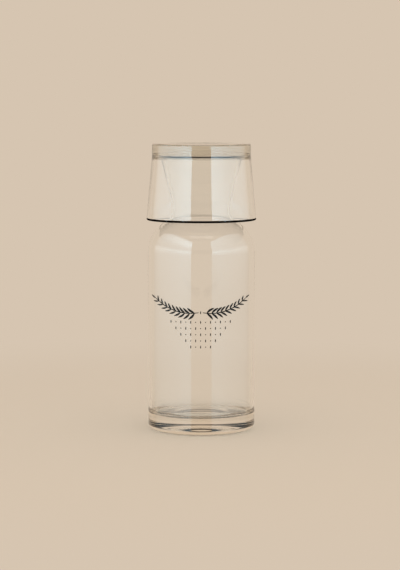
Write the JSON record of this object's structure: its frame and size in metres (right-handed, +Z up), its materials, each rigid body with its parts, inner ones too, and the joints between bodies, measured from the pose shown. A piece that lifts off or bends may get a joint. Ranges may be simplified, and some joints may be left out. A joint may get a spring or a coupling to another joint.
{
  "type": "carafe with tumbler lid",
  "caption": "Cylindrical clear glass bedside carafe with a round shoulder and a flared neck, closed by a tapered drinking tumbler turned over the mouth.",
  "frame": {"origin": "centre of the foot, on the plane that the carafe stands on", "axes": "+Z up along the axis of revolution, -Y towards the printed front, +X to the right of someone who faces the front"},
  "size_m": [0.088, 0.088, 0.23],
  "materials": {
    "clear_glass": "clear polished soda-lime glass",
    "fired_ink": "thin black ceramic ink fired on to the glass"
  },
  "bodies": {
    "carafe": {"carafe": "clear_glass"},
    "tumbler": {"tumbler": "clear_glass"}
  },
  "joints": [
    {"name": "tumbler_lift", "type": "slide", "parent": "carafe", "child": "tumbler", "axis": [0, 0, 1], "range_m": [0, 0.06]}
  ]
}
